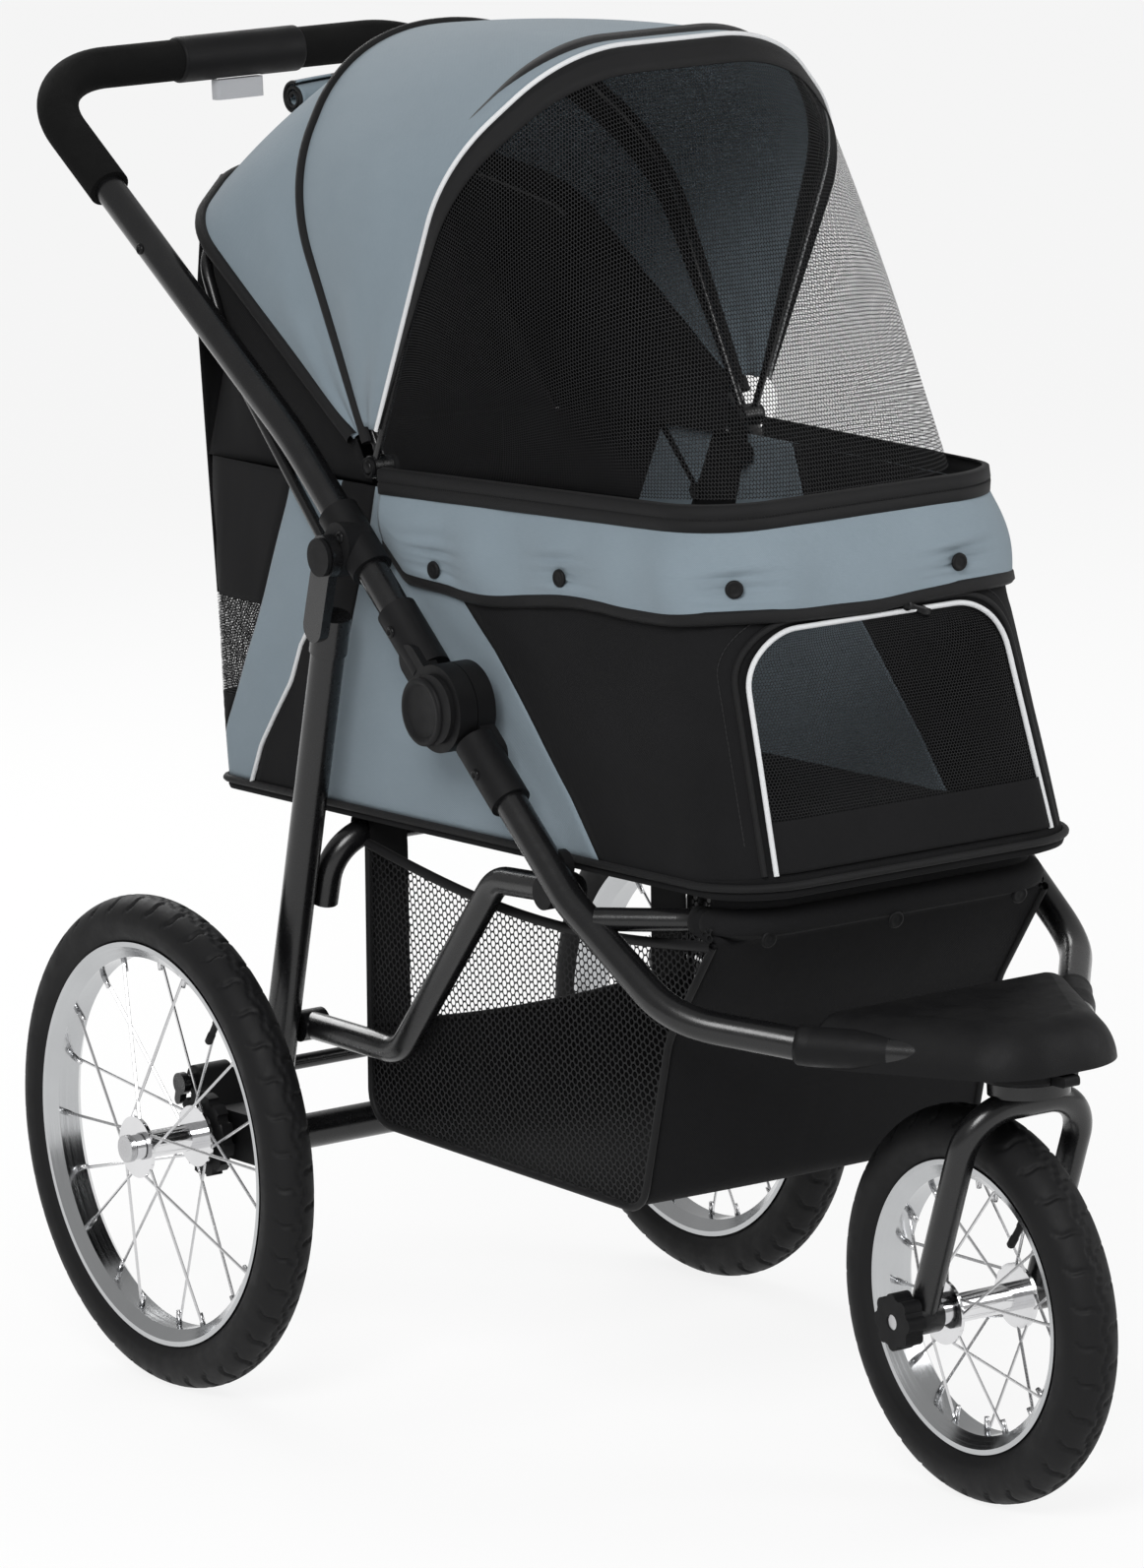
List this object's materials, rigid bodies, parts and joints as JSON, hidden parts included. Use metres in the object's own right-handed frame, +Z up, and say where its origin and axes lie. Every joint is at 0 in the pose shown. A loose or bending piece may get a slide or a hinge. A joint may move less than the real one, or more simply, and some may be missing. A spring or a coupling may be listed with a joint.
{
  "type": "pet stroller",
  "caption": "Three-wheel folding stroller for a pet with spoked wheels, a soft cabin with a mesh front and folding canopy, and a net basket.",
  "frame": {"origin": "on the ground under the middle of the stroller's box", "axes": "+X across to the stroller's left, -Y to the front, +Z up"},
  "size_m": [0.605, 1.131, 1.0819],
  "materials": {
    "tube_black": "semi-gloss black powder coat",
    "plastic_black": "matte moulded black",
    "plastic_grey": "light grey moulded",
    "foam_black": "matte closed-cell foam",
    "axle_steel": "zinc plated",
    "cloth_grey": "blue-grey woven cloth",
    "cloth_black": "black woven cloth",
    "net_black": "black open mesh",
    "tyre_black": "black treaded rubber",
    "rim_silver": "polished",
    "spoke_steel": "bright plated wire",
    "hub_chrome": "bright plated"
  },
  "bodies": {
    "front_frame": {"lower_tube_left": "tube_black", "lower_tube_right": "tube_black", "fold_hub_lower_halves": "plastic_black", "link_brackets": "plastic_black", "fender": "plastic_black", "swivel_housing": "plastic_black", "front_hoop": "tube_black", "cabin_base": "cloth_black", "floor_mat": "cloth_black", "cabin_side_left": "cloth_grey", "cabin_side_right": "cloth_grey", "cabin_front": "cloth_black", "cabin_rear": "cloth_black", "cabin_rim": "cloth_black", "rear_hoop": "tube_black", "canopy_pivots": "plastic_black", "canopy_rear_panel": "cloth_grey", "basket_sheet": "cloth_black", "basket_net_left": "net_black", "basket_net_right": "net_black"},
    "handle_frame": {"upper_tubes": "tube_black", "handlebar": "tube_black", "grips": "foam_black", "handle_housing": "plastic_black", "fold_hub_upper_halves": "plastic_black", "leg_brackets": "plastic_black"},
    "trigger": {"fold_trigger": "plastic_grey"},
    "rear_legs": {"rear_leg_left": "tube_black", "rear_leg_right": "tube_black", "axle_holders": "plastic_black", "stub_axles": "axle_steel", "axle_bar": "tube_black", "rear_strut": "tube_black"},
    "brake": {"brake_bar": "tube_black"},
    "link_pair": {"link_left": "tube_black", "link_right": "tube_black"},
    "rear_wheel_left": {"rear_wheel_left_tyre": "tyre_black", "rear_wheel_left_rim": "rim_silver", "rear_wheel_left_spokes": "spoke_steel", "rear_wheel_left_hub": "hub_chrome", "brake_ring_left": "plastic_black"},
    "rear_wheel_right": {"rear_wheel_right_tyre": "tyre_black", "rear_wheel_right_rim": "rim_silver", "rear_wheel_right_spokes": "spoke_steel", "rear_wheel_right_hub": "hub_chrome", "brake_ring_right": "plastic_black"},
    "fork": {"front_fork": "tube_black", "front_axle": "axle_steel"},
    "front_wheel": {"front_wheel_tyre": "tyre_black", "front_wheel_rim": "rim_silver", "front_wheel_spokes": "spoke_steel", "front_wheel_hub": "hub_chrome"},
    "knob": {"axle_knob": "plastic_black"},
    "lock": {"swivel_lock": "plastic_black"},
    "canopy_mid": {"mid_bow": "tube_black", "canopy_visor": "cloth_grey"},
    "canopy_front": {"front_bow": "tube_black", "mesh_window": "net_black"},
    "door": {"door_flap": "net_black"}
  },
  "joints": [
    {"name": "frame_fold", "type": "hinge", "parent": "front_frame", "child": "handle_frame", "pos_m": [0, -0.0405, 0.588], "axis": [1, 0, 0], "range_deg": [0, 125], "deforming": ["cabin_base", "floor_mat", "cabin_side_left", "cabin_side_right", "cabin_front", "cabin_rear"]},
    {"name": "leg_fold", "type": "hinge", "parent": "handle_frame", "child": "rear_legs", "pos_m": [0, 0.0955, 0.692], "axis": [1, 0, 0], "range_deg": [-52, 0]},
    {"name": "link_fold", "type": "hinge", "parent": "front_frame", "child": "link_pair", "pos_m": [0, -0.1405, 0.455], "axis": [1, 0, 0], "range_deg": [0, 52]},
    {"name": "rear_wheel_left_spin", "type": "hinge", "parent": "rear_legs", "child": "rear_wheel_left", "pos_m": [0.2635, 0.3115, 0.2], "axis": [1, 0, 0], "continuous": true},
    {"name": "rear_wheel_right_spin", "type": "hinge", "parent": "rear_legs", "child": "rear_wheel_right", "pos_m": [-0.2635, 0.3115, 0.2], "axis": [1, 0, 0], "continuous": true},
    {"name": "front_swivel", "type": "hinge", "parent": "front_frame", "child": "fork", "pos_m": [0, -0.4825, 0.33], "axis": [0, 0, 1], "continuous": true},
    {"name": "front_wheel_spin", "type": "hinge", "parent": "fork", "child": "front_wheel", "pos_m": [0, -0.4135, 0.152], "axis": [1, 0, 0], "continuous": true},
    {"name": "axle_knob_turn", "type": "hinge", "parent": "fork", "child": "knob", "pos_m": [-0.075, -0.4135, 0.152], "axis": [1, 0, 0], "continuous": true},
    {"name": "swivel_lock_pull", "type": "slide", "parent": "front_frame", "child": "lock", "axis": [0, -1, 0], "range_m": [0, 0.008]},
    {"name": "brake_press", "type": "hinge", "parent": "rear_legs", "child": "brake", "pos_m": [0, 0.3455, 0.236], "axis": [-1, 0, 0], "range_deg": [0, 25]},
    {"name": "fold_trigger_squeeze", "type": "slide", "parent": "handle_frame", "child": "trigger", "axis": [0, 0, 1], "range_m": [0, 0.006], "stiffness_N_per_m": 500},
    {"name": "canopy_fold", "type": "hinge", "parent": "front_frame", "child": "canopy_mid", "pos_m": [0, 0.0865, 0.758], "axis": [-1, 0, 0], "range_deg": [0, 20], "deforming": ["canopy_rear_panel", "canopy_visor", "mesh_window"]},
    {"name": "canopy_front_fold", "type": "hinge", "parent": "canopy_mid", "child": "canopy_front", "pos_m": [0, 0.0865, 0.758], "axis": [-1, 0, 0], "range_deg": [0, 37]},
    {"name": "door_open", "type": "hinge", "parent": "front_frame", "child": "door", "pos_m": [0, -0.356, 0.488], "axis": [1, 0, 0], "range_deg": [0, 105]}
  ],
  "couplings": [
    {"joint": "leg_fold", "follows": "frame_fold", "ratio": -0.414},
    {"joint": "link_fold", "follows": "frame_fold", "ratio": 0.413},
    {"joint": "canopy_front_fold", "follows": "canopy_fold", "ratio": 1.85}
  ]
}
